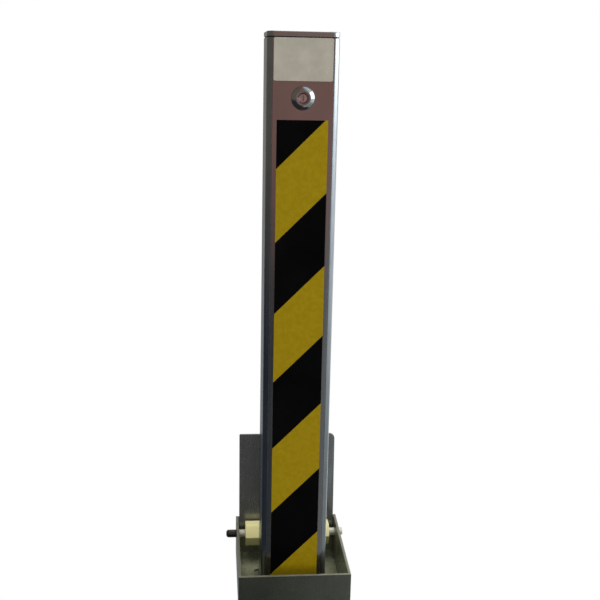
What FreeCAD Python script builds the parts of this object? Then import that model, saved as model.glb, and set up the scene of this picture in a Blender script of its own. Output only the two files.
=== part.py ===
import math
import os

import FreeCAD
import Part

V = FreeCAD.Vector

# Driving sizes, in millimetres. The post's axis is X = 0, Y = 0; its front faces -Y.
post_w = 70.0
post_r = 7.0
post_wall = 3.5
post_rise = 552.0
port_in = 4.0
port_boss_r = 5.2
port_hole_r = 2.5
strip_w = 59.0
strip_t = 1.2
strip_set = 0.4
strip_gap = 0.1

tray_w = 120.0
tray_d = 140.0
tray_h = 49.0
tray_front = 22.0
sheet_t = 3.0
tray_bend_r = 3.0

sleeve_gap = 5.0
sleeve_wall = 3.0
sleeve_r_in = 5.0
base_w = 130.0
base_t = 6.0
base_r = 6.0
drain_r = 8.0
drain_y = 22.0
drain_ease = 2.0
buffer_w = 70.0
buffer_t = 10.0
pad_h = 50.0
pad_reach = 6.5
pad_screw_in = 7.0
pad_screw_bite = 4.8
lug_w = 40.0
lug_out = 24.0
lug_t = 6.0
lug_low = 170.0
lug_high = 420.0

lid_t = 3.0
lid_lean = 3.7
lid_side_gap = 0.8
lid_tip_gap = 1.0
lid_tail = 3.5
lid_seat = 10.5
lid_r_left = 1.5
lid_r_right = 6.0
stop_gap = 0.2
pin_r = 4.5
pin_left = 71.7
pin_right = 66.2
pin_nose = 2.2
knuckle_af = 25.0
knuckle_out = 49.3
knuckle_len = 24.0
knuckle_screw_up = 3.0
knuckle_screw_bite = 4.2

cap_t = 4.8
cap_edge = 0.9
cap_plug = 10.0
gasket_t = 1.0
gasket_in = 1.0
head_room = 2.0

label_w = 57.0
label_h = 40.0
label_t = 0.4
film_w = 50.0
film_t = 0.3
film_down = 76.7
film_end = 20.0
band_t = 0.1
band_rise = 73.0
band_first = 63.0

lock_down = 56.0
lock_flange_r = 11.5
lock_flange_t = 3.5
lock_slope = 1.8
lock_barrel_r = 9.0
lock_barrel_len = 22.0
lock_nut_af = 24.0
lock_nut_t = 4.0
plug_r = 5.5
plug_sink = 0.5
key_w = 1.3
key_h = 7.0
key_deep = 4.0
cam_t = 3.0
cam_hub_r = 7.5
cam_arm = 12.0
cam_eye = 2.0
cam_pin_r = 2.5
cam_gap = 0.4
cam_screw_in = 8.0
cam_turn = 90.0

rod_t = 4.0
rod_clear = 3.7
rod_x0 = 2.0
rod_x1 = 17.5
rod_edge = 4.0
rod_slot_gap = 0.6
guide_h = 15.0
guide_screw_in = 12.0
guide_rim = 6.0
guide_back = 18.0
guide_low = 150.0
guide_high = 380.0

foot_h = 46.0
foot_plug = 15.0
foot_floor = 4.0
bolt_r = 8.0
bolt_nose = 0.8
bolt_up = 30.0
bolt_inset = 2.6
bolt_pin_x = -6.0
bolt_pin_in = 1.0
bolt_tail = 8.0
pocket_ease = 0.5
pocket_wall = 4.0
pocket_end = 2.0
pocket_free = 3.0

slide_gap = 0.3
run_gap = 0.05
seat_gap = 0.15
foot_gap = 0.4
slot_gap = 0.5

# Screws and their holes are drawn with few flats, because there are many of them.
screw_flats = 12
screw_r = 2.45
screw_head_r = 4.8
screw_head_h = 2.5
screw_sink = 0.2
small_r = 2.0
small_head_r = 3.8
small_head_h = 2.0
cap_screw_len = 18.0
foot_head_r = 4.25
foot_head_h = 5.0
foot_bore_r = 4.7
foot_bore_h = 6.0
foot_screw_in = 14.0

# How far a cut runs past the face that it opens.
over = 1.0

# Levels and faces that follow from the sizes.
half = post_w / 2
inner_w = post_w - 2 * post_wall
port_at = inner_w / 2 - port_in
sleeve_in = post_w + 2 * sleeve_gap
sleeve_out = sleeve_in + 2 * sleeve_wall
travel = post_rise + gasket_t + cap_t + lid_t + head_room
foot_low = base_t + buffer_t + slot_gap
foot_z = foot_low + travel
foot_top = foot_z + foot_h
pad_z = foot_top + slide_gap
tray_z = pad_z + pad_h
rim_z = tray_z + tray_h
post_top = rim_z + post_rise
strip_y = -half + strip_set
recess_y = strip_y + strip_t
lock_z = post_top - lock_down
bolt_z = foot_z + bolt_up
rod_y0 = strip_y + lock_barrel_len + cam_gap + cam_t + rod_clear
rod_y1 = rod_y0 + rod_t
rod_y = (rod_y0 + rod_y1) / 2
throw = 2 * cam_arm * math.sin(math.radians(cam_turn / 2))
half_tray = tray_w / 2
tray_y0 = -half - tray_front
tray_y1 = tray_y0 + tray_d
lean = math.radians(lid_lean)
lid_back = lid_seat + lid_t
pin_z = rim_z - lid_back
stop_run = (lid_back + lid_back * math.sin(lean)) / math.cos(lean)
stop_reach = lid_back * math.cos(lean) + stop_run * math.sin(lean)
pin_y = tray_y1 - sheet_t - stop_reach - stop_gap
lid_len = pin_y - (tray_y0 + sheet_t) - lid_tip_gap

up = V(0, 0, 1)
right = V(1, 0, 0)
back = V(0, 1, 0)
near = 1e-6


def box(x0, x1, y0, y1, z0, z1):
    return Part.makeBox(x1 - x0, y1 - y0, z1 - z0, V(x0, y0, z0))


def cylinder(r, start, axis, length):
    return Part.makeCylinder(r, length, start, axis)


def square_prism(width, radius, z0, z1):
    h = width / 2
    body = box(-h, h, -h, h, z0, z1)
    uprights = [e for e in body.Edges if abs(e.Vertexes[0].Z - e.Vertexes[1].Z) > near]
    return body.makeFillet(radius, uprights)


def ring(sides, radius, centre, axis, turn=0.0):
    spin = FreeCAD.Rotation(up, axis)
    points = []
    for k in range(sides):
        a = math.radians(360 * k / sides + turn)
        points.append(centre + spin.multVec(V(radius * math.cos(a), radius * math.sin(a), 0)))
    return points


def flat_face(points):
    return Part.Face(Part.makePolygon(points + points[:1]))


def hex_prism(flats, start, axis, length, turn=0.0):
    return flat_face(ring(6, flats / math.sqrt(3), start, axis, turn)).extrude(axis * length)


def stud(r0, r1, start, axis, length):
    # Straight or tapered bar with screw_flats sides.
    low = ring(screw_flats, r0, start, axis)
    high = ring(screw_flats, r1, start + axis * length, axis)
    faces = [flat_face(low[::-1]), flat_face(high)]
    for k in range(screw_flats):
        faces.append(flat_face([low[k - 1], low[k], high[k], high[k - 1]]))
    return Part.Solid(Part.Shell(faces))


def plate(points, y0, y1):
    return flat_face([V(x, y0, z) for x, z in points]).extrude(back * (y1 - y0))


def slot_cut(x0, z0, x1, z1, radius, y0, y1):
    run = math.hypot(x1 - x0, z1 - z0)
    ux = (x1 - x0) / run * radius
    uz = (z1 - z0) / run * radius
    sides = [(x0 - uz, z0 + ux), (x1 - uz, z1 + ux), (x1 + uz, z1 - ux), (x0 + uz, z0 - ux)]
    cut = plate(sides, y0, y1)
    for x, z in ((x0, z0), (x1, z1)):
        cut = cut.fuse(cylinder(radius, V(x, y0, z), back, y1 - y0))
    return cut.removeSplitter()


def cross_block(arm, width, z0, z1):
    h = arm / 2
    w = width / 2
    return box(-h, h, -w, w, z0, z1).fuse(box(-w, w, -h, h, z0, z1)).removeSplitter()


def flat_screw(tip, axis, length, shank, head, head_h):
    # Countersunk screw whose axis runs from its tip to the flat of its head.
    neck = tip + axis * (length - head_h)
    body = stud(shank, shank, tip, axis, length - head_h)
    return body.fuse(stud(shank, head, neck, axis, head_h)).removeSplitter()


def flat_hole(top, axis, length, shank, head, head_h):
    # Clearance for a countersunk screw whose head ends screw_sink below the face at top.
    hole = stud(shank + run_gap, shank + run_gap, top - axis * length, axis, length)
    sink = stud(shank + run_gap, head + run_gap, top - axis * (head_h + screw_sink), axis, head_h)
    mouth = stud(head + run_gap, head + run_gap, top - axis * screw_sink, axis, screw_sink + over)
    return hole.fuse(sink).fuse(mouth)


def corners(at):
    return [(sx * at, sy * at) for sx in (-1, 1) for sy in (-1, 1)]


def end_rim(solid, axis, place):
    # Round edges that lie across an axis at one place along it.
    rims = [e for e in solid.Edges if len(e.Vertexes) == 1]
    return [e for e in rims if abs(e.CenterOfMass.dot(axis) - place) < near]


nodes = {}

# Tray: folded from sheet, open at the top, with the sleeve's mouth in its floor.
tray = box(-half_tray, half_tray, tray_y0, tray_y1, tray_z, rim_z)
bends = [e for e in tray.Edges if all(abs(v.Z - tray_z) < near for v in e.Vertexes)]
tray = tray.makeFillet(tray_bend_r, bends)
inside_x = half_tray - sheet_t
inside_z = tray_z + sheet_t
tray = tray.cut(box(-inside_x, inside_x, tray_y0 + sheet_t, tray_y1 - sheet_t, inside_z, rim_z + over))
tray = tray.cut(square_prism(sleeve_in, sleeve_r_in, tray_z - over, inside_z + over))
nodes["tray"] = tray.cut(cylinder(pin_r + run_gap, V(-tray_w, pin_y, pin_z), right, 2 * tray_w))

# Sleeve: square tube from the base plate up to the tray's floor, with a hole at each bolt level.
keeper_r = bolt_r + slot_gap
keeper_levels = (bolt_z, bolt_z - travel)
sleeve = square_prism(sleeve_out, sleeve_r_in + sleeve_wall, base_t, tray_z)
sleeve = sleeve.cut(square_prism(sleeve_in, sleeve_r_in, base_t - over, tray_z + over))
for z in keeper_levels:
    sleeve = sleeve.cut(cylinder(keeper_r, V(half, rod_y, z), right, sleeve_out))

# Corner pads at the sleeve's mouth: they guide the post's rounded corners and stop the foot.
pad_from = half - pad_reach
pad_screw_y = sleeve_in / 2 - pad_screw_in
pad_screw_tip = sleeve_in / 2 - pad_screw_bite
pad_screw_z = pad_z + pad_h / 2
pad_screw_len = sleeve_out / 2 - screw_sink - pad_screw_tip
pad_hole_len = sleeve_out / 2 - pad_screw_tip + run_gap
pad_ring = square_prism(sleeve_in - 2 * run_gap, sleeve_r_in, pad_z, tray_z)
pad_ring = pad_ring.cut(square_prism(post_w + 2 * slide_gap, post_r + slide_gap, pad_z - over, tray_z + over))
pads = []
pad_screws = []
for sx, sy in corners(1):
    outward = right * sx
    face = V(sx * sleeve_out / 2, sy * pad_screw_y, pad_screw_z)
    hole = flat_hole(face, outward, pad_hole_len, small_r, small_head_r, small_head_h)
    tip = V(sx * pad_screw_tip, sy * pad_screw_y, pad_screw_z)
    pad_screws.append(flat_screw(tip, outward, pad_screw_len, small_r, small_head_r, small_head_h))
    sleeve = sleeve.cut(hole)
    x0, x1 = sorted((sx * pad_from, sx * sleeve_in))
    y0, y1 = sorted((sy * pad_from, sy * sleeve_in))
    pads.append(pad_ring.common(box(x0, x1, y0, y1, pad_z, tray_z)).cut(hole))
nodes["sleeve"] = sleeve
nodes["guide_pads"] = Part.makeCompound(pads)
nodes["pad_screws"] = Part.makeCompound(pad_screws)

# Base plate with a drain, and the rubber that the lowered post lands on.
base = square_prism(base_w, base_r, 0, base_t)
nodes["base_plate"] = base.cut(cylinder(drain_r, V(0, drain_y, -over), up, base_t + 2 * over))
landing = square_prism(buffer_w, base_r, base_t, base_t + buffer_t)
nodes["landing_buffer"] = landing.cut(cylinder(drain_r + drain_ease, V(0, drain_y, 0), up, 2 * buffer_t))

# Lugs that key the sleeve into the concrete.
lugs = []
for z in (lug_low, lug_high):
    for sy in (-1, 1):
        y0, y1 = sorted((sy * sleeve_out / 2, sy * (sleeve_out / 2 + lug_out)))
        lugs.append(box(-lug_w / 2, lug_w / 2, y0, y1, z, z + lug_t))
nodes["anchor_lugs"] = Part.makeCompound(lugs)

# Square pockets outside the sleeve that take the bolt with the post up and with it down.
bolt_tip = sleeve_in / 2 - foot_gap - bolt_inset
pocket_x0 = sleeve_out / 2
pocket_x1 = bolt_tip + throw + pocket_free
room = keeper_r + pocket_ease
shell = room + pocket_wall
pockets = []
for z in keeper_levels:
    cup = box(pocket_x0, pocket_x1 + pocket_end, rod_y - shell, rod_y + shell, z - shell, z + shell)
    hollow = box(pocket_x0 - over, pocket_x1, rod_y - room, rod_y + room, z - room, z + room)
    pockets.append(cup.cut(hollow))
nodes["keeper_pockets"] = Part.makeCompound(pockets)

# Hinge pin through both tray walls, longer on the left, where its end is eased.
pin = cylinder(pin_r, V(-pin_left, pin_y, pin_z), right, pin_left + pin_right)
nodes["hinge_pin"] = pin.makeChamfer(pin_nose, end_rim(pin, right, -pin_left))

# Lid and its two hexagonal knuckles: drawn upright on the pin, then leant on the tray's rear wall.
lid_half = inside_x - lid_side_gap
lid_top = pin_z + lid_len
lid = box(-lid_half, lid_half, pin_y + lid_seat, pin_y + lid_back, pin_z - lid_tail, lid_top)
for sx, radius in ((-1, lid_r_left), (1, lid_r_right)):
    tip = V(sx * lid_half, pin_y + lid_seat + lid_t / 2, lid_top)
    lid = lid.makeFillet(radius, [e for e in lid.Edges if e.CenterOfMass.distanceToPoint(tip) < near])
knuckle_screw_tip = lid_seat - knuckle_screw_bite
knuckle_screw_len = lid_back - screw_sink - knuckle_screw_tip
knuckle_hole_len = lid_back - knuckle_screw_tip + run_gap
lid_side = box(-tray_w, tray_w, pin_y + lid_seat, tray_y1, pin_z - knuckle_af, pin_z + knuckle_af)
knuckles = []
knuckle_screws = []
for x in (-knuckle_out, knuckle_out - knuckle_len):
    start = V(x, pin_y, pin_z)
    knuckle = hex_prism(knuckle_af, start, right, knuckle_len, 30).cut(lid_side)
    knuckle = knuckle.cut(cylinder(pin_r + run_gap, start - right * over, right, knuckle_len + 2 * over))
    at = start + right * (knuckle_len / 2) + up * knuckle_screw_up
    hole = flat_hole(at + back * lid_back, back, knuckle_hole_len, screw_r, screw_head_r, screw_head_h)
    tip = at + back * knuckle_screw_tip
    lid = lid.cut(hole)
    knuckles.append(knuckle.cut(hole))
    knuckle_screws.append(flat_screw(tip, back, knuckle_screw_len, screw_r, screw_head_r, screw_head_h))
nodes["lid_plate"] = lid
nodes["lid_knuckles"] = Part.makeCompound(knuckles)
nodes["knuckle_screws"] = Part.makeCompound(knuckle_screws)
for name in ("lid_plate", "lid_knuckles", "knuckle_screws"):
    nodes[name].rotate(V(0, pin_y, pin_z), right, -lid_lean)

# Post: extruded square tube with a shallow front recess and a screw port in each corner.
post_z0 = foot_top - over
post_cut = post_top - foot_top + 2 * over
post = square_prism(post_w, post_r, foot_top, post_top)
core = square_prism(inner_w, post_r - post_wall, post_z0, post_top + over)
for x, y in corners(port_at):
    core = core.cut(cylinder(port_boss_r, V(x, y, post_z0), up, post_cut))
post = post.cut(core)
for x, y in corners(port_at):
    post = post.cut(cylinder(port_hole_r, V(x, y, post_z0), up, post_cut))
post = post.cut(box(-strip_w / 2, strip_w / 2, -post_w, recess_y, post_z0, post_top + over))
lock_hole = cylinder(lock_barrel_r + run_gap, V(0, -post_w, lock_z), back, post_w)
post = post.cut(lock_hole)

# Nylon blocks that keep the pull rod straight inside the post, each held by a screw from behind.
plug_arm = inner_w - 2 * seat_gap
plug_width = 2 * (port_at - port_boss_r) - 2 * slot_gap
rod_y_low = rod_y0 - slot_gap
rod_y_high = rod_y1 + slot_gap
channel = box(rod_x0 - slot_gap, rod_x1 + slot_gap, rod_y_low, rod_y_high, 0, post_top)
window_x0 = guide_rim - plug_width / 2
window_y1 = plug_arm / 2 - guide_back
window = box(window_x0, rod_x0 - guide_rim, guide_rim - plug_arm / 2, window_y1, 0, post_top)
guide_screw_tip = inner_w / 2 - guide_screw_in
guide_screw_len = half - screw_sink - guide_screw_tip
guide_hole_len = half - guide_screw_tip + run_gap
guides = []
guide_screws = []
for z in (rim_z + guide_low, rim_z + guide_high):
    at = V(0, 0, z + guide_h / 2)
    hole = flat_hole(at + back * half, back, guide_hole_len, screw_r, screw_head_r, screw_head_h)
    tip = at + back * guide_screw_tip
    block = cross_block(plug_arm, plug_width, z, z + guide_h).cut(channel).cut(window)
    post = post.cut(hole)
    guides.append(block.cut(hole))
    guide_screws.append(flat_screw(tip, back, guide_screw_len, screw_r, screw_head_r, screw_head_h))
nodes["post_profile"] = post
nodes["rod_guides"] = Part.makeCompound(guides)
nodes["guide_screws"] = Part.makeCompound(guide_screws)

# Face strip laid in the recess, with the bare label plate on it.
strip_half = strip_w / 2 - strip_gap
strip = box(-strip_half, strip_half, strip_y, recess_y, foot_top, post_top)
nodes["face_strip"] = strip.cut(lock_hole)
label_x = label_w / 2
nodes["label_plate"] = box(-label_x, label_x, strip_y - label_t, strip_y, post_top - label_h, post_top)

# Film on the strip, with slanted bands that rise as far as they run.
film_z0 = rim_z - film_end
film_z1 = post_top - film_down
film_x = film_w / 2
film_y = strip_y - film_t
nodes["hazard_film"] = box(-film_x, film_x, film_y, strip_y, film_z0, film_z1)
print_zone = box(-film_x, film_x, film_y - band_t, film_y, film_z0, film_z1)
bands = []
level = rim_z + band_first
while level - band_rise < film_z1:
    low = level - band_rise
    slant = [(-film_x, level), (-film_x, low), (film_x, low + film_w), (film_x, level + film_w)]
    bands.append(plate(slant, film_y - band_t, film_y).common(print_zone))
    level += 2 * band_rise
nodes["hazard_bands"] = Part.makeCompound(bands)

# Cap with a plug that drops between the screw ports, its gasket and its screws.
cap_z0 = post_top + gasket_t
cap_z1 = cap_z0 + cap_t
cap = square_prism(post_w, post_r, cap_z0, cap_z1)
cap = cap.makeChamfer(cap_edge, [e for e in cap.Edges if all(abs(v.Z - cap_z1) < near for v in e.Vertexes)])
cap = cap.fuse(cross_block(plug_arm, plug_width, post_top - cap_plug, cap_z0)).removeSplitter()
gasket = square_prism(post_w - 2 * gasket_in, post_r - gasket_in, post_top, cap_z0)
plug_way = cross_block(plug_arm + 2 * seat_gap, plug_width + 2 * seat_gap, post_top - over, cap_z0 + over)
gasket = gasket.cut(plug_way)
cap_screws = []
for x, y in corners(port_at):
    hole = flat_hole(V(x, y, cap_z1), up, cap_screw_len + over, screw_r, screw_head_r, screw_head_h)
    tip = V(x, y, cap_z1 - screw_sink - cap_screw_len)
    cap = cap.cut(hole)
    gasket = gasket.cut(hole)
    cap_screws.append(flat_screw(tip, up, cap_screw_len, screw_r, screw_head_r, screw_head_h))
nodes["top_cap"] = cap
nodes["cap_gasket"] = gasket
nodes["cap_screws"] = Part.makeCompound(cap_screws)

# Lock housing: sloped flange on the strip, barrel through the wall, nut inside.
flange_y = strip_y - lock_flange_t
housing = cylinder(lock_flange_r, V(0, flange_y, lock_z), back, lock_flange_t)
housing = housing.makeChamfer(lock_slope, end_rim(housing, back, flange_y))
housing = housing.fuse(cylinder(lock_barrel_r, V(0, strip_y, lock_z), back, lock_barrel_len))
plug_bore = cylinder(plug_r + run_gap, V(0, -post_w, lock_z), back, 2 * post_w)
nodes["lock_housing"] = housing.removeSplitter().cut(plug_bore)
nut_y = -half + post_wall
nodes["lock_nut"] = hex_prism(lock_nut_af, V(0, nut_y, lock_z), back, lock_nut_t).cut(lock_hole)

# Lock plug with a key slot.
cam_y = strip_y + lock_barrel_len + cam_gap
plug_y = flange_y + plug_sink
cam_screw_y = cam_y - cam_screw_in
cam_face = cam_y + cam_t
key_x = key_w / 2
key_z0 = lock_z - key_h / 2
cam_screw_way = stud(small_r + run_gap, small_r + run_gap, V(0, cam_screw_y - run_gap, lock_z), back,
                     cam_face + over - cam_screw_y)
plug = cylinder(plug_r, V(0, plug_y, lock_z), back, cam_y - plug_y)
plug = plug.cut(box(-key_x, key_x, plug_y - over, plug_y + key_deep, key_z0, key_z0 + key_h))
nodes["lock_plug"] = plug.cut(cam_screw_way)

# Cam on the plug's end, with a drive pin on its arm, and the screw that holds it on.
swing = math.radians(cam_turn / 2)
cam_px = cam_arm * math.cos(swing)
cam_pz = lock_z - cam_arm * math.sin(swing)
cam = cylinder(cam_hub_r, V(0, cam_y, lock_z), back, cam_t)
cam = cam.fuse(slot_cut(0, lock_z, cam_px, cam_pz, cam_pin_r + cam_eye, cam_y, cam_face))
cam = cam.fuse(cylinder(cam_pin_r, V(cam_px, cam_y, cam_pz), back, rod_y_high - cam_y))
nodes["lock_cam"] = cam.removeSplitter().cut(cam_screw_way)
cam_screw = stud(small_r, small_r, V(0, cam_screw_y, lock_z), back, cam_face - cam_screw_y)
cam_head = stud(small_head_r, small_head_r, V(0, cam_face, lock_z), back, small_head_h)
nodes["cam_screw"] = cam_screw.fuse(cam_head).removeSplitter()

# Pull rod: flat bar, a level slot for the cam's pin, a sloping slot that throws the bolt.
level_r = cam_pin_r + rod_slot_gap
slope_r = cam_pin_r + seat_gap
slope_x1 = bolt_pin_x + throw
wedge_x0 = bolt_pin_x - slope_r - rod_edge
wedge_x1 = slope_x1 + slope_r + rod_edge
wedge_z0 = bolt_z - throw - slope_r - rod_edge
wedge_z1 = bolt_z + slope_r + rod_edge
cut_y0 = rod_y0 - over
cut_y1 = rod_y1 + over
bar = box(rod_x0, rod_x1, rod_y0, rod_y1, bolt_z, cam_pz + level_r + rod_edge)
bar = bar.fuse(box(wedge_x0, wedge_x1, rod_y0, rod_y1, wedge_z0, wedge_z1)).removeSplitter()
bar = bar.cut(slot_cut(cam_px, cam_pz, cam_arm, cam_pz, level_r, cut_y0, cut_y1))
nodes["pull_rod"] = bar.cut(slot_cut(bolt_pin_x, bolt_z, slope_x1, bolt_z - throw, slope_r, cut_y0, cut_y1))

# Foot: fills the sleeve, closes the post and holds the bolt, with a pit for the rod's wide end.
foot_end = foot_top + foot_plug
pit_x0 = wedge_x0 - slot_gap
pit_x1 = wedge_x1 + slot_gap
foot = square_prism(sleeve_in - 2 * foot_gap, sleeve_r_in - foot_gap, foot_z, foot_top)
foot = foot.fuse(cross_block(plug_arm, plug_width, foot_top, foot_end)).removeSplitter()
foot = foot.cut(box(pit_x0, pit_x1, rod_y_low, rod_y_high, foot_z + foot_floor - slot_gap, foot_end + over))
bore_x0 = bolt_pin_x - bolt_tail - slot_gap
foot = foot.cut(cylinder(bolt_r + seat_gap, V(bore_x0, rod_y, bolt_z), right, sleeve_in))
shank_z0 = foot_z + foot_bore_h
shank_len = foot_top + foot_screw_in - shank_z0
foot_screws = []
for x, y in corners(port_at):
    seat = V(x, y, shank_z0)
    foot = foot.cut(stud(foot_bore_r, foot_bore_r, seat, -up, foot_bore_h + over))
    foot = foot.cut(stud(screw_r + run_gap, screw_r + run_gap, seat - up * over, up, shank_len))
    shank = stud(screw_r, screw_r, seat, up, shank_len)
    foot_screws.append(shank.fuse(stud(foot_head_r, foot_head_r, seat, -up, foot_head_h)).removeSplitter())
nodes["post_foot"] = foot
nodes["foot_screws"] = Part.makeCompound(foot_screws)

# Bolt: round bar forked over the rod's wide end, with a cross pin in the sloping slot.
bolt_x0 = bolt_pin_x - bolt_tail
bolt = cylinder(bolt_r, V(bolt_x0, rod_y, bolt_z), right, bolt_tip - bolt_x0)
bolt = bolt.makeChamfer(bolt_nose, end_rim(bolt, right, bolt_tip))
bolt = bolt.cut(box(-post_w, pit_x1, rod_y_low, rod_y_high, foot_z, foot_top))
cross_half = bolt_r - bolt_pin_in
cross_pin = cylinder(cam_pin_r, V(bolt_pin_x, rod_y - cross_half, bolt_z), back, 2 * cross_half)
nodes["latch_bolt"] = bolt.fuse(cross_pin).removeSplitter()

os.makedirs("parts", exist_ok=True)
for name, shape in nodes.items():
    shape.exportStep("parts/" + name + ".step")
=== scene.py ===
import math

import bmesh
import bpy
from mathutils import Matrix, Vector


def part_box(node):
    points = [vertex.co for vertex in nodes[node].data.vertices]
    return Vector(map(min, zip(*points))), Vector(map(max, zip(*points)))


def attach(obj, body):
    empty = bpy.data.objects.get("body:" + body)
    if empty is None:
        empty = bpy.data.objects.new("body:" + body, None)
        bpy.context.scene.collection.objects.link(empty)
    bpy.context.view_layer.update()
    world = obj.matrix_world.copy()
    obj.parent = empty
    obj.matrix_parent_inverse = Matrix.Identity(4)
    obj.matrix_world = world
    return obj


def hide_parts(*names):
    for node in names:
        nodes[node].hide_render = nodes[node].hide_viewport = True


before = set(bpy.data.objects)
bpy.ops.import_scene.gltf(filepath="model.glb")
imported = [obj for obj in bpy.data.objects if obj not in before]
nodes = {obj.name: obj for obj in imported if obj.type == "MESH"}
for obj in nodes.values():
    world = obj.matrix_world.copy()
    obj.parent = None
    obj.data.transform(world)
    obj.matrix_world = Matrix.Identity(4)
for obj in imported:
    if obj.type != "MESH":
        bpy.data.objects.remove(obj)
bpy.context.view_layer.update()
scene = bpy.context.scene
mm = 0.001
tiny = 0.001 * mm
print("frame in:", len(nodes), "nodes")

# levels and faces read off the frame
trayLow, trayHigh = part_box("tray")
postLow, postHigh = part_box("post_profile")
stripLow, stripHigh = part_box("face_strip")
pinLow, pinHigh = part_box("hinge_pin")
rimZ = trayHigh.z
half = postHigh.x  # half the post's width
frontY = stripLow.y
pinY = (pinLow.y + pinHigh.y) / 2
pinZ = (pinLow.z + pinHigh.z) / 2


# shader helpers
def addNode(tree, kind, **values):
    made = tree.nodes.new(kind)
    for key, value in values.items():
        made.inputs[key.replace("_", " ")].default_value = value
    return made


def mathNode(tree, operation, a, b):
    made = tree.nodes.new("ShaderNodeMath")
    made.operation = operation
    tree.links.new(a, made.inputs[0])
    tree.links.new(b, made.inputs[1])
    return made.outputs[0]


def noise(tree, vector, scale, detail=3.0):
    made = addNode(tree, "ShaderNodeTexNoise", Scale=scale, Detail=detail, Roughness=0.6)
    tree.links.new(vector, made.inputs["Vector"])
    return made.outputs["Fac"]


def spread(tree, value, low, high, start=0.35, end=0.65):
    made = addNode(tree, "ShaderNodeMapRange", From_Min=start, From_Max=end, To_Min=low, To_Max=high)
    tree.links.new(value, made.inputs["Value"])
    return made.outputs["Result"]


def blend(tree, factor, a, b):
    made = tree.nodes.new("ShaderNodeMix")
    made.data_type = "RGBA"
    tree.links.new(factor, made.inputs[0])
    for socket, value in ((made.inputs[6], a), (made.inputs[7], b)):
        if isinstance(value, tuple):
            socket.default_value = (*value, 1)
        else:
            tree.links.new(value, socket)
    return made.outputs[2]


def surface(name, s):
    # soft blotches and a grain along one axis
    mat = bpy.data.materials.new(name)
    mat.use_nodes = True
    tree = mat.node_tree
    shader = tree.nodes["Principled BSDF"]
    place = addNode(tree, "ShaderNodeTexCoord").outputs["Object"]
    stretch = addNode(tree, "ShaderNodeMapping", Scale=s.get("grain", (1, 1, 1)))
    tree.links.new(place, stretch.inputs["Vector"])
    fine = noise(tree, stretch.outputs["Vector"], s["fine"], 2.0)
    blotch = noise(tree, place, s.get("blotch", 18.0))
    tone = blend(tree, spread(tree, blotch, 0, 1), s["dark"], s["light"])
    color = blend(tree, spread(tree, fine, 0, s.get("grainMix", 0.3)), tone, s["dark"])
    tree.links.new(color, shader.inputs["Base Color"])
    tree.links.new(spread(tree, fine, *s["rough"]), shader.inputs["Roughness"])
    shader.inputs["Metallic"].default_value = s.get("metal", 0.0)
    shader.inputs["Specular IOR Level"].default_value = s.get("specular", 0.5)
    if "bump" in s:
        bump = addNode(tree, "ShaderNodeBump", Strength=s["bump"], Distance=0.4 * mm)
        tree.links.new(fine, bump.inputs["Height"])
        tree.links.new(bump.outputs["Normal"], shader.inputs["Normal"])
    return mat


def sheeting(name, s):
    # reflective film: fine cells under a smooth face
    mat = bpy.data.materials.new(name)
    mat.use_nodes = True
    tree = mat.node_tree
    shader = tree.nodes["Principled BSDF"]
    place = addNode(tree, "ShaderNodeTexCoord").outputs["Object"]
    cells = addNode(tree, "ShaderNodeTexVoronoi", Scale=s["cells"])
    tree.links.new(place, cells.inputs["Vector"])
    mottle = spread(tree, noise(tree, place, s["mottle"]), 0, 1)
    tone = blend(tree, mottle, s["dark"], s["light"])
    cellShare = spread(tree, cells.outputs["Distance"], 0, s["cellMix"], 0.2, 0.7)
    color = blend(tree, cellShare, tone, s["dark"])
    tree.links.new(color, shader.inputs["Base Color"])
    tree.links.new(spread(tree, mottle, *s["rough"], 0, 1), shader.inputs["Roughness"])
    shader.inputs["Specular IOR Level"].default_value = s["specular"]
    return mat


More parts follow.
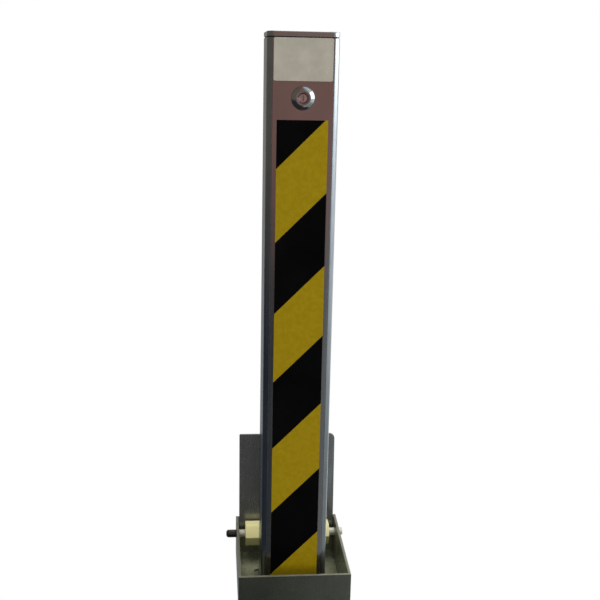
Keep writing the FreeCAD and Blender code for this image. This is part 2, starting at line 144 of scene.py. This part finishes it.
finishes = {
    "tray": dict(dark=(0.105, 0.109, 0.084), light=(0.140, 0.145, 0.112), fine=240, grain=(1, 1, 0.2),
                 rough=(0.24, 0.28), metal=0.85),
    # inside faces: dusty texture, painted lighter to stand for light on the floor and walls
    "trayInsideDustAndPaintedLight": dict(dark=(0.180, 0.188, 0.122), light=(0.275, 0.287, 0.186), fine=260, blotch=40,
                       rough=(0.25, 0.4), metal=0.3, bump=0.05),
    "edge": dict(dark=(0.17, 0.17, 0.125), light=(0.24, 0.24, 0.18), fine=300, rough=(0.35, 0.5), metal=0.6),
    "lid": dict(dark=(0.190, 0.195, 0.186), light=(0.288, 0.296, 0.290), fine=420, grain=(1, 1, 0.03),
                grainMix=0.6, rough=(0.2, 0.3), metal=0.78, bump=0.01),
    "sleeve": dict(dark=(0.28, 0.285, 0.29), light=(0.42, 0.425, 0.43), fine=160, blotch=40,
                   rough=(0.4, 0.6), metal=0.9, bump=0.12),
    "post": dict(dark=(0.34, 0.345, 0.355), light=(0.42, 0.425, 0.435), fine=700, grain=(1, 1, 0.01),
                 rough=(0.24, 0.32), metal=1.0, bump=0.02),
    "strip": dict(dark=(0.41, 0.37, 0.36), light=(0.46, 0.42, 0.41), fine=800, grain=(1, 1, 0.01),
                  rough=(0.16, 0.20), metal=1.0, bump=0.005),
    "cap": dict(dark=(0.40, 0.38, 0.36), light=(0.48, 0.46, 0.44), fine=500, grain=(0.05, 1, 1),
                rough=(0.24, 0.34), metal=1.0, bump=0.02),
    "label": dict(dark=(0.30, 0.28, 0.23), light=(0.36, 0.335, 0.275), fine=900, blotch=60,
                  rough=(0.4, 0.55), bump=0.02, specular=0.3),
    "chrome": dict(dark=(0.42, 0.41, 0.40), light=(0.50, 0.49, 0.48), fine=300, rough=(0.12, 0.2),
                   metal=1.0),
    "plug": dict(dark=(0.60, 0.46, 0.44), light=(0.72, 0.57, 0.55), fine=500, rough=(0.24, 0.36), metal=1.0,
                 bump=0.03),
    "brass": dict(dark=(0.68, 0.63, 0.30), light=(0.82, 0.77, 0.42), fine=400, grain=(0.05, 1, 1),
                  rough=(0.35, 0.5), metal=0.2, bump=0.03),
    "pin": dict(dark=(0.58, 0.57, 0.48), light=(0.76, 0.75, 0.64), fine=300, grain=(0.05, 1, 1),
                rough=(0.25, 0.4), metal=0.5, bump=0.03),
    # end of the pin outside the tray: painted shade, dark for the shade and the dark reflection on it
    "pinEndPaintedShade": dict(dark=(0.14, 0.14, 0.13), light=(0.22, 0.22, 0.205), fine=300, rough=(0.25, 0.4),
                   metal=1.0, bump=0.04),
    "screw": dict(dark=(0.56, 0.56, 0.55), light=(0.66, 0.66, 0.65), fine=600, rough=(0.25, 0.4), metal=1.0),
    "padNylon": dict(dark=(0.075, 0.078, 0.058), light=(0.105, 0.108, 0.082), fine=250, rough=(0.4, 0.55),
                     bump=0.04),
    "nylon": dict(dark=(0.018, 0.018, 0.018), light=(0.03, 0.03, 0.03), fine=250, rough=(0.45, 0.6),
                  bump=0.06),
    "rubber": dict(dark=(0.008, 0.008, 0.008), light=(0.016, 0.016, 0.016), fine=350, rough=(0.6, 0.8),
                   bump=0.1),
    "bands": dict(dark=(0.0012, 0.0012, 0.0012), light=(0.0025, 0.0024, 0.0024), fine=300, rough=(0.3, 0.42),
                  specular=0.02),
}
mats = {name: surface(name, s) for name, s in finishes.items()}
yellow = dict(cells=420, cellMix=0.25, mottle=220, dark=(0.228, 0.154, 0.003), light=(0.262, 0.184, 0.005),
              rough=(0.30, 0.42), specular=0.04)
mats["film"] = sheeting("film", yellow)
print("materials made:", len(mats))


# mesh helpers
def addPiece(name, bm, body, stands, finish, angle=35):
    bmesh.ops.recalc_face_normals(bm, faces=bm.faces)
    mesh = bpy.data.meshes.new(name)
    bm.to_mesh(mesh)
    bm.free()
    mesh.materials.append(mats[finish])
    mesh.shade_smooth()
    mesh.set_sharp_from_angle(angle=math.radians(angle))
    piece = bpy.data.objects.new(name, mesh)
    scene.collection.objects.link(piece)
    piece.modifiers.new("normals", "WEIGHTED_NORMAL").keep_sharp = True
    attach(piece, body)
    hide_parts(*stands)
    return piece


def facing(point, axis):
    # stands +Z along the axis at a point
    turn = Vector((0, 0, 1)).rotation_difference(Vector(axis))
    return Matrix.Translation(point) @ turn.to_matrix().to_4x4()


def polygon(r, count):
    angles = [2 * math.pi * k / count for k in range(count)]
    return [(r * math.cos(a), r * math.sin(a)) for a in angles]


def roundLoop(w, d, radii, segs=10):
    # rounded rectangle, one radius a corner, from the front right round to the front left
    points = []
    for k, (sx, sy) in enumerate(((1, -1), (1, 1), (-1, 1), (-1, -1))):
        r = radii[k]
        for step in range(segs + 1):
            a = math.radians(90 * (k - 1 + step / segs))
            points.append((sx * (w / 2 - r) + r * math.cos(a), sy * (d / 2 - r) + r * math.sin(a)))
    return points


def rising(bm, loop, z):
    return [bm.verts.new((x, y, z)) for x, y in loop]


def pulled(bm, faces, vec):
    made = bmesh.ops.extrude_face_region(bm, geom=faces)["geom"]
    verts = [v for v in made if isinstance(v, bmesh.types.BMVert)]
    bmesh.ops.translate(bm, verts=verts, vec=vec)


def prism(bm, loop, z0, z1):
    face = bm.faces.new(rising(bm, loop, z0))
    pulled(bm, [face], (0, 0, z1 - z0))


def slab(bm, low, high):
    bmesh.ops.create_cube(bm, size=1)
    bmesh.ops.scale(bm, verts=bm.verts, vec=high - low)
    bmesh.ops.translate(bm, verts=bm.verts, vec=(high + low) / 2)


def soften(bm, edges, width, segs=2):
    bmesh.ops.bevel(bm, geom=edges, offset=width, offset_type="OFFSET", affect="EDGES", segments=segs,
                    profile=0.5, material=-1)


def creases(bm, angle):
    return [e for e in bm.edges if len(e.link_faces) == 2 and e.calc_face_angle(0) > math.radians(angle)]


def levelEdges(bm, z):
    return [e for e in bm.edges if all(abs(v.co.z - z) < tiny for v in e.verts)]


def loopEdges(bm, verts):
    pairs = zip(verts, verts[1:] + verts[:1])
    return [bm.edges.get(pair) or bm.edges.new(pair) for pair in pairs]


def bored(bm, outer, inner, z0, z1):
    # prism of the outer outline with the inner one open right through it
    low = [rising(bm, outer, z0), rising(bm, inner, z0)]
    high = [rising(bm, outer, z1), rising(bm, inner, z1)]
    for a, b in zip(low, high):
        bmesh.ops.bridge_loops(bm, edges=loopEdges(bm, a) + loopEdges(bm, b))
    for a, b in (low, high):
        bmesh.ops.triangle_fill(bm, edges=loopEdges(bm, a) + loopEdges(bm, b), use_beauty=True)
    bmesh.ops.recalc_face_normals(bm, faces=bm.faces)


def spun(bm, profile, centre, axis, outward, steps):
    # turn a profile of (radius, distance along the axis) into a closed solid
    verts = [bm.verts.new(centre + outward * r + axis * h) for r, h in profile]
    edges = [bm.edges.new(pair) for pair in zip(verts, verts[1:])]
    bmesh.ops.spin(bm, geom=verts + edges, cent=centre, axis=axis, angle=2 * math.pi, steps=steps,
                   use_merge=True)
    bmesh.ops.remove_doubles(bm, verts=bm.verts, dist=0.1 * tiny)


def pocketed(bm, place, s, loop):
    # round head facing +Z in its own frame, with a pocket of this outline sunk into its face
    face = rising(bm, polygon(s["r"] - s["ease"], s["sides"]), 0)
    rim = rising(bm, polygon(s["r"], s["sides"]), -s["ease"])
    foot = rising(bm, polygon(s["r"], s["sides"]), -s["depth"])
    mouth = rising(bm, loop, 0)
    floor = rising(bm, loop, -s["deep"])
    bmesh.ops.triangle_fill(bm, edges=loopEdges(bm, face) + loopEdges(bm, mouth), use_beauty=True)
    for a, b in ((face, rim), (rim, foot), (mouth, floor)):
        bmesh.ops.bridge_loops(bm, edges=loopEdges(bm, a) + loopEdges(bm, b))
    bm.faces.new(foot)
    bm.faces.new(floor)
    bmesh.ops.transform(bm, matrix=place, verts=face + rim + foot + mouth + floor)


# hex socket heads, the larger on the post, cap and lid and the smaller on the sleeve
screw = dict(r=4.8 * mm, ease=0.3 * mm, depth=2 * mm, key=1.7 * mm, deep=1.6 * mm, sides=40, proud=0.12 * mm)
padScrew = dict(r=3.8 * mm, ease=0.25 * mm, depth=1.5 * mm, key=1.3 * mm, deep=1.2 * mm, sides=40,
                proud=0.3 * mm)


def screwHead(bm, point, axis, s):
    pocketed(bm, facing(point, axis), s, polygon(s["key"], 6))


# post: extruded tube with a shallow front recess
post = dict(r=7 * mm, wall=3.5 * mm, recess=29.5 * mm, lip=0.3 * mm, end=0.25 * mm, crease=40)
bm = bmesh.new()
inside = 2 * (half - post["wall"])
hollow = roundLoop(inside, inside, [post["r"] - post["wall"]] * 4)
section = roundLoop(2 * half, 2 * half, [post["r"]] * 4)
edgeX = post["recess"]
edgeY = -half + post["r"] - math.sqrt(post["r"] ** 2 - max(0, edgeX - half + post["r"]) ** 2)
front = [(-edgeX, edgeY), (-edgeX, stripHigh.y), (edgeX, stripHigh.y), (edgeX, edgeY)]
section = [p for p in section if p[1] > 0 or abs(p[0]) > edgeX + tiny]
bored(bm, front + section, hollow, postLow.z, postHigh.z)
corners = creases(bm, post["crease"])
uprights = [e for e in corners if abs(e.verts[0].co.z - e.verts[1].co.z) > post["r"]]
soften(bm, uprights, post["lip"])
ends = levelEdges(bm, postHigh.z)
soften(bm, [e for e in creases(bm, post["crease"]) if e in ends], post["end"])
addPiece("postShell", bm, "post", ["post_profile"], "post")

# face strip in the recess
strip = dict(edge=0.3 * mm)
bm = bmesh.new()
slab(bm, stripLow, stripHigh)
soften(bm, bm.edges[:], strip["edge"])
addPiece("faceStrip", bm, "post", ["face_strip"], "strip")

# bare label under the cap
label = dict(r=1.5 * mm, edge=0.12 * mm)
lo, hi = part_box("label_plate")
bm = bmesh.new()
prism(bm, roundLoop(hi.x - lo.x, hi.z - lo.z, [label["r"]] * 4, segs=4), -(hi.y - lo.y), 0)
soften(bm, levelEdges(bm, 0), label["edge"])
bmesh.ops.transform(bm, matrix=facing((0, lo.y, (lo.z + hi.z) / 2), (0, -1, 0)), verts=bm.verts)
addPiece("blankLabel", bm, "post", ["label_plate"], "label")

# hazard film and its printed bands
film = dict(edge=0.1 * mm, rise=73 * mm, first=63 * mm)
lo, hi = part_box("hazard_film")
bm = bmesh.new()
slab(bm, lo, hi)
soften(bm, bm.edges[:], film["edge"])
addPiece("hazardFilm", bm, "post", ["hazard_film"], "film")
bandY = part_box("hazard_bands")[0].y
bm = bmesh.new()
level = rimZ + film["first"]
while level - film["rise"] < hi.z:
    low = level - film["rise"]
    run = hi.x - lo.x  # the bands lean at 45 degrees
    slant = ((lo.x, level), (lo.x, low), (hi.x, low + run), (hi.x, level + run))
    bm.faces.new([bm.verts.new((x, bandY, z)) for x, z in slant])
    level += 2 * film["rise"]
for edge, side in ((hi.z, 1), (lo.z, -1)):
    geom = bm.verts[:] + bm.edges[:] + bm.faces[:]
    bmesh.ops.bisect_plane(bm, geom=geom, plane_co=(0, 0, edge), plane_no=(0, 0, side), clear_outer=True)
pulled(bm, bm.faces[:], (0, lo.y - bandY, 0))
addPiece("hazardBands", bm, "post", ["hazard_bands"], "bands")

# cap plate and its screw heads
cap = dict(edge=0.9 * mm, under=0.3 * mm, screwAt=27.5 * mm, screwProud=0.15 * mm)
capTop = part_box("top_cap")[1].z
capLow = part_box("cap_gasket")[1].z
bm = bmesh.new()
prism(bm, roundLoop(2 * half, 2 * half, [post["r"]] * 4), capLow, capTop)
soften(bm, levelEdges(bm, capTop), cap["edge"], segs=3)
soften(bm, levelEdges(bm, capLow), cap["under"])
addPiece("capPlate", bm, "post", ["top_cap"], "cap")
bm = bmesh.new()
for sx in (-1, 1):
    for sy in (-1, 1):
        at = (sx * cap["screwAt"], sy * cap["screwAt"], capTop + cap["screwProud"])
        screwHead(bm, at, (0, 0, 1), screw)
addPiece("capScrewHeads", bm, "post", ["cap_screws"], "screw")
print("post pieces done")

# lock: flat-faced ring with a sloped rim, its barrel in the post, and a slotted plug sunk in it
lock = dict(ring=[(5.6, 3.35), (5.75, 3.5), (7.0, 3.5), (7.5, 3.4), (8.5, 2.95), (9.6, 2.2), (10.6, 1.35),
                  (11.2, 0.7), (11.5, 0.0)], bore=5.6 * mm, barrel=9.0 * mm, steps=64)
lockLow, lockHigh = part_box("lock_housing")
lockAt = Vector((0, frontY, (lockLow.z + lockHigh.z) / 2))
outwards = Vector((0, -1, 0))
barrelEnd = frontY - lockHigh.y
bm = bmesh.new()
profile = [(lock["bore"], barrelEnd)]
profile += [(r * mm, h * mm) for r, h in lock["ring"]]
profile += [(lock["barrel"], 0), (lock["barrel"], barrelEnd), (lock["bore"], barrelEnd)]
spun(bm, profile, lockAt, outwards, Vector((1, 0, 0)), lock["steps"])
addPiece("lockRing", bm, "post", ["lock_housing"], "chrome", angle=50)
plug = dict(r=5.0 * mm, ease=1.1 * mm, deep=2.2 * mm, sides=40, out=2.0 * mm, slotW=1.3 * mm, slotH=5.6 * mm,
            slotEnd=0.637 * mm)
plug["depth"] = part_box("lock_plug")[1].y - frontY + plug["out"]  # back to the cam
bm = bmesh.new()
slot = roundLoop(plug["slotW"], plug["slotH"], [plug["slotEnd"]] * 4, segs=3)
pocketed(bm, facing(lockAt + outwards * plug["out"], outwards), plug, slot)
addPiece("lockPlug", bm, "lock_core", ["lock_plug"], "plug")
print("lock done")

# tray: folded sheet, open at the top, with the sleeve's mouth in its floor
tray = dict(t=3 * mm, bend=3 * mm, mouth=80 * mm, mouthR=5 * mm, rim=0.4 * mm, inner=1.2 * mm)
w = trayHigh.x - trayLow.x
d = trayHigh.y - trayLow.y
midY = (trayHigh.y + trayLow.y) / 2
floorZ = trayLow.z + tray["t"]


def boxLoop(inset):
    x = w / 2 - inset
    y = d / 2 - inset
    return [(-x, midY - y), (x, midY - y), (x, midY + y), (-x, midY + y)]


bm = bmesh.new()
mouth = roundLoop(tray["mouth"], tray["mouth"], [tray["mouthR"]] * 4, segs=6)
outLow = rising(bm, boxLoop(0), trayLow.z)
outTop = rising(bm, boxLoop(0), rimZ)
inLow = rising(bm, boxLoop(tray["t"]), floorZ)
inTop = rising(bm, boxLoop(tray["t"]), rimZ)
mouthTop = rising(bm, mouth, floorZ)
mouthLow = rising(bm, mouth, trayLow.z)
for a, b in ((outLow, outTop), (outTop, inTop), (inTop, inLow), (mouthTop, mouthLow)):
    bmesh.ops.bridge_loops(bm, edges=loopEdges(bm, a) + loopEdges(bm, b))
for outer, inner in ((inLow, mouthTop), (outLow, mouthLow)):
    bmesh.ops.triangle_fill(bm, edges=loopEdges(bm, outer) + loopEdges(bm, inner), use_beauty=True)
bmesh.ops.recalc_face_normals(bm, faces=bm.faces)
bends = loopEdges(bm, outLow)
seats = loopEdges(bm, inLow)
soften(bm, bends, tray["bend"], segs=4)
soften(bm, [e for e in seats if e.is_valid], tray["inner"], segs=3)
soften(bm, levelEdges(bm, rimZ), tray["rim"])
insideX = w / 2 - 0.9 * tray["t"]  # reaches just past the inner walls
insideY = d / 2 - 0.9 * tray["t"]
for face in bm.faces:
    if face.calc_center_median().z > rimZ - tray["rim"]:
        face.material_index = 1  # bare cut edge
    elif all(abs(v.co.x) < insideX and abs(v.co.y - midY) < insideY for v in face.verts):
        face.material_index = 2  # painted light on the inside faces, lighter than the outside, with dust
trayShell = addPiece("trayShell", bm, "ground_unit", ["tray"], "tray")
trayShell.data.materials.append(mats["edge"])
trayShell.data.materials.append(mats["trayInsideDustAndPaintedLight"])

# lid: drawn flat, stood up on the pin and leant back
lid = dict(seat=10.5 * mm, t=3 * mm, tail=3.5 * mm, lean=3.7, left=1.5 * mm, right=6 * mm, foot=0.5 * mm,
           edge=0.4 * mm, tip=1 * mm, crease=50)
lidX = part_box("lid_plate")[1].x
lidTop = pinY - (trayLow.y + tray["t"]) - lid["tip"]
leanBack = Matrix.Translation((0, pinY, pinZ)) @ Matrix.Rotation(math.radians(-lid["lean"]), 4, "X")
bm = bmesh.new()
lidCorners = [lid["foot"], lid["right"], lid["left"], lid["foot"]]
outline = roundLoop(2 * lidX, lidTop + lid["tail"], lidCorners, segs=8)
prism(bm, outline, -lid["t"], 0)
soften(bm, creases(bm, lid["crease"]), lid["edge"])
stand = facing((0, lid["seat"], (lidTop - lid["tail"]) / 2), (0, -1, 0))
bmesh.ops.transform(bm, matrix=leanBack @ stand, verts=bm.verts)
addPiece("lidPlate", bm, "lid", ["lid_plate"], "lid")

# hexagonal knuckles and the screw heads behind them
knuckle = dict(af=25 * mm, bore=4.55 * mm, boreSides=40, out=49.3 * mm, length=24 * mm, edge=0.5 * mm,
               crease=20, screwUp=3 * mm)
bm = bmesh.new()
heads = bmesh.new()
across = knuckle["af"] / math.sqrt(3)
lidBack = lid["seat"] + lid["t"]
ring = [(min(y, lid["seat"]), z) for y, z in polygon(across, 6)]
bore = polygon(knuckle["bore"], knuckle["boreSides"])
for sx in (-1, 1):
    start = sx * (knuckle["out"] - knuckle["length"] / 2) - knuckle["length"] / 2
    bored(bm, ring, bore, start, start + knuckle["length"])
    at = (start + knuckle["length"] / 2, lidBack + screw["proud"], knuckle["screwUp"])
    screwHead(heads, at, (0, 1, 0), screw)
corners = creases(bm, knuckle["crease"])
outside = [e for e in corners if min(v.co.xy.length for v in e.verts) > 2 * knuckle["bore"]]
soften(bm, outside, knuckle["edge"])
alongPin = Matrix(((0, 0, 1), (1, 0, 0), (0, 1, 0))).to_4x4()  # drawn upright, laid along the pin
bmesh.ops.transform(bm, matrix=leanBack @ alongPin, verts=bm.verts)
bmesh.ops.transform(heads, matrix=leanBack, verts=heads.verts)
addPiece("lidKnuckles", bm, "lid", ["lid_knuckles"], "brass")
addPiece("knuckleScrewHeads", heads, "lid", ["knuckle_screws"], "screw")

# hinge pin, domed on the left
pin = dict(r=4.5 * mm, dome=3 * mm, domeSteps=6, edge=0.8 * mm, steps=40)
length = pinHigh.x - pinLow.x
profile = [(0, 0)]
for k in range(pin["domeSteps"] + 1):
    a = math.radians(90 * k / pin["domeSteps"])
    profile.append((pin["r"] - pin["dome"] * (1 - math.sin(a)), pin["dome"] * (1 - math.cos(a))))
profile.append((pin["r"], trayLow.x - pinLow.x))
profile += [(pin["r"], length - pin["edge"]), (pin["r"] - pin["edge"], length), (0, length)]
bm = bmesh.new()
spun(bm, profile, Vector((pinLow.x, pinY, pinZ)), Vector((1, 0, 0)), Vector((0, 0, 1)), pin["steps"])
for face in bm.faces:
    if face.calc_center_median().x < trayLow.x:
        face.material_index = 1  # painted shade on the end outside the tray
hingePin = addPiece("hingePin", bm, "ground_unit", ["hinge_pin"], "pin", angle=50)
hingePin.data.materials.append(mats["pinEndPaintedShade"])

# screw heads on the back of the post and on the sleeve
guideLow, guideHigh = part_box("guide_screws")
bm = bmesh.new()
for z in (guideLow.z + screw["r"], guideHigh.z - screw["r"]):
    screwHead(bm, (0, half + screw["proud"], z), (0, 1, 0), screw)
addPiece("guideScrewHeads", bm, "post", ["guide_screws"], "screw")
padLow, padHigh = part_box("pad_screws")
padX = padHigh.x + padScrew["proud"]
padY = padHigh.y - padScrew["r"]
padZ = (padLow.z + padHigh.z) / 2
bm = bmesh.new()
for sx in (-1, 1):
    for sy in (-1, 1):
        screwHead(bm, (sx * padX, sy * padY, padZ), (sx, 0, 0), padScrew)
addPiece("padScrewHeads", bm, "ground_unit", ["pad_screws"], "screw")
print("tray, lid and hinge done")

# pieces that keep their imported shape
kept = {
    "sleeve": ["sleeve", "base_plate", "anchor_lugs", "keeper_pockets"],
    "padNylon": ["guide_pads"],
    "nylon": ["post_foot", "rod_guides"],
    "rubber": ["landing_buffer", "cap_gasket"],
    "screw": ["lock_nut", "foot_screws", "lock_cam", "cam_screw", "latch_bolt"],
    "post": ["pull_rod"],
}
for finish, names in kept.items():
    for name in names:
        nodes[name].data.materials.clear()
        nodes[name].data.materials.append(mats[finish])
print("packed pieces finished")


def addStage(name, bm):
    mesh = bpy.data.meshes.new(name)
    bm.to_mesh(mesh)
    bm.free()
    thing = bpy.data.objects.new(name, mesh)
    scene.collection.objects.link(thing)
    mat = bpy.data.materials.new(name)
    mat.use_nodes = True
    mat.node_tree.nodes.clear()
    mesh.materials.append(mat)
    return thing, mat.node_tree


# pale floor that fades out into the white surround
stage = dict(radius=1.0, fadeFrom=0.45, color=(0.80, 0.79, 0.77, 1))
bm = bmesh.new()
bmesh.ops.create_circle(bm, cap_ends=True, segments=96, radius=stage["radius"])
floor, tree = addStage("floor", bm)
place = addNode(tree, "ShaderNodeTexCoord").outputs["Object"]
far = tree.nodes.new("ShaderNodeVectorMath")
far.operation = "LENGTH"
tree.links.new(place, far.inputs[0])
fade = spread(tree, far.outputs["Value"], 0, 1, stage["fadeFrom"], stage["radius"])
pale = addNode(tree, "ShaderNodeBsdfDiffuse", Color=stage["color"])
clear = tree.nodes.new("ShaderNodeBsdfTransparent")
pick = tree.nodes.new("ShaderNodeMixShader")
out = tree.nodes.new("ShaderNodeOutputMaterial")
tree.links.new(fade, pick.inputs[0])
tree.links.new(pale.outputs[0], pick.inputs[1])
tree.links.new(clear.outputs[0], pick.inputs[2])
tree.links.new(pick.outputs[0], out.inputs[0])

# white surround for what is seen or mirrored, soft grey light for the rest
room = dict(color=(0.98, 0.98, 1.0, 1), level=0.36)
world = bpy.data.worlds.new("studio")
scene.world = world
world.use_nodes = True
tree = world.node_tree
tree.nodes.clear()
path = tree.nodes.new("ShaderNodeLightPath")
seen = mathNode(tree, "MAXIMUM", path.outputs["Is Camera Ray"], path.outputs["Is Glossy Ray"])
seen = mathNode(tree, "MAXIMUM", seen, path.outputs["Is Transmission Ray"])
soft = addNode(tree, "ShaderNodeBackground", Color=room["color"], Strength=room["level"])
white = addNode(tree, "ShaderNodeBackground", Color=(1, 1, 1, 1), Strength=1.0)
pick = tree.nodes.new("ShaderNodeMixShader")
out = tree.nodes.new("ShaderNodeOutputWorld")
tree.links.new(seen, pick.inputs[0])
tree.links.new(soft.outputs[0], pick.inputs[1])
tree.links.new(white.outputs[0], pick.inputs[2])
tree.links.new(pick.outputs[0], out.inputs[0])

# wrapped card, dim and warm in front and pale on the right, seen only in the metal
card = dict(columns=316, radius=2.2, rows=26, rowStep=0.1, floor=[(0.1, 0.02), (0.75, 0.02), (1.05, 0.02)],
            top=[(1.6, 2.75), (0.9, 2.85), (0.05, 2.9)], dimTo=0.9, dim=(0.03, 0.036, 0.04, 1))
cardKeys = [
    dict(at=84, low=(0.800, 0.810, 0.820), high=(0.52, 0.520, 0.510), fade=(0.52, 1.00)),
    dict(at=112, low=(0.030, 0.040, 0.055), high=(0.17, 0.160, 0.135), fade=(0.52, 1.00)),
    dict(at=240, low=(0.030, 0.040, 0.055), high=(0.17, 0.160, 0.135), fade=(0.52, 1.00)),
    dict(at=277, low=(0.030, 0.036, 0.040), high=(0.32, 0.185, 0.165), fade=(0.52, 1.00)),
    dict(at=282, low=(0.620, 0.690, 0.730), high=(0.32, 0.185, 0.165), fade=(0.52, 1.00)),
    dict(at=302, low=(0.280, 0.340, 0.350), high=(0.42, 0.600, 0.700), fade=(0.10, 0.60)),
    dict(at=340, low=(0.300, 0.350, 0.360), high=(0.90, 1.000, 1.050), fade=(0.10, 0.50)),
    dict(at=400, low=(0.300, 0.350, 0.360), high=(0.90, 1.000, 1.050), fade=(0.10, 0.50)),
]


def keyTone(key, z):
    start, end = key["fade"]
    return Vector(key["low"]).lerp(Vector(key["high"]), min(1, max(0, (z - start) / (end - start))))


def cardTone(azimuth, z):
    for near, far in zip(cardKeys, cardKeys[1:]):
        if azimuth <= far["at"]:
            break
    along = (azimuth - near["at"]) / (far["at"] - near["at"])
    return (*keyTone(near, z).lerp(keyTone(far, z), along), 1)


first = cardKeys[0]["at"]
sweep = cardKeys[-1]["at"] - first
wall = [(card["radius"], card["rowStep"] * (k + 1)) for k in range(card["rows"])]
edgeOn = Vector((math.cos(math.radians(first)), math.sin(math.radians(first)), 0))
up = Vector((0, 0, 1))
bm = bmesh.new()
shade = bm.verts.layers.float_color.new("tone")
verts = [bm.verts.new(edgeOn * r + up * z) for r, z in card["floor"] + wall + card["top"]]
edges = [bm.edges.new(pair) for pair in zip(verts, verts[1:])]
bmesh.ops.spin(bm, geom=verts + edges, cent=(0, 0, 0), axis=up, angle=math.radians(sweep),
               steps=card["columns"])
for vert in bm.verts:
    around = math.degrees(math.atan2(vert.co.y, vert.co.x)) - first
    azimuth = first + (around + 1) % 360 - 1  # a degree of room keeps the first column at the start
    onFloor = vert.co.z < card["rowStep"] / 2
    if onFloor and vert.co.xy.length < card["dimTo"]:
        vert[shade] = card["dim"]
    else:
        vert[shade] = cardTone(azimuth, vert.co.z)
wrap, tree = addStage("card", bm)
wrap.visible_camera = False
wrap.visible_diffuse = False
wrap.visible_shadow = False
wrap.visible_transmission = False
tone = tree.nodes.new("ShaderNodeAttribute")
tone.attribute_name = "tone"
glow = tree.nodes.new("ShaderNodeEmission")
out = tree.nodes.new("ShaderNodeOutputMaterial")
tree.links.new(tone.outputs["Color"], glow.inputs["Color"])
tree.links.new(glow.outputs[0], out.inputs[0])

# soft lamps, all aimed at the middle of the post
lamps = {
    "rightPanel": dict(at=(1.7, -0.3, 1.65), size=(2.2, 1.1), power=28, color=(0.86, 0.94, 1.0), seen=True),
    "frontSoft": dict(at=(-0.2, -2.2, 1.0), size=(1.2, 0.9), power=17, color=(1.0, 0.97, 0.92), seen=False),
    "topSoft": dict(at=(0.0, -0.3, 3.4), size=(1.4, 1.4), power=90, color=(1.0, 0.99, 0.96), seen=False),
}
aim = Vector((0, 0, 1.0))
for name, s in lamps.items():
    data = bpy.data.lights.new(name, "AREA")
    data.shape = "RECTANGLE"
    data.size, data.size_y = s["size"]
    data.energy = s["power"]
    data.color = s["color"]
    lamp = bpy.data.objects.new(name, data)
    scene.collection.objects.link(lamp)
    lamp.location = s["at"]
    lamp.rotation_euler = (aim - Vector(s["at"])).to_track_quat("-Z", "Y").to_euler()
    lamp.visible_glossy = s["seen"]  # in the metal

# camera at the photo's angle
shot = dict(x=-0.08334, y=-0.96430, up=0.53101, pitch=0.24603, yaw=0.09058, roll=0.02044, lens=57.21,
            sensor=36)
camData = bpy.data.cameras.new("camera")
camData.sensor_width = shot["sensor"]
camData.lens = shot["lens"]
camera = bpy.data.objects.new("camera", camData)
scene.collection.objects.link(camera)
turn = Matrix.Rotation(-shot["yaw"], 4, "Z") @ Matrix.Rotation(math.pi / 2 - shot["pitch"], 4, "X")
turn = turn @ Matrix.Rotation(shot["roll"], 4, "Z")
camera.matrix_world = Matrix.Translation((shot["x"], shot["y"], rimZ + shot["up"])) @ turn
scene.camera = camera
scene.view_settings.view_transform = "Standard"
print("light and camera set")
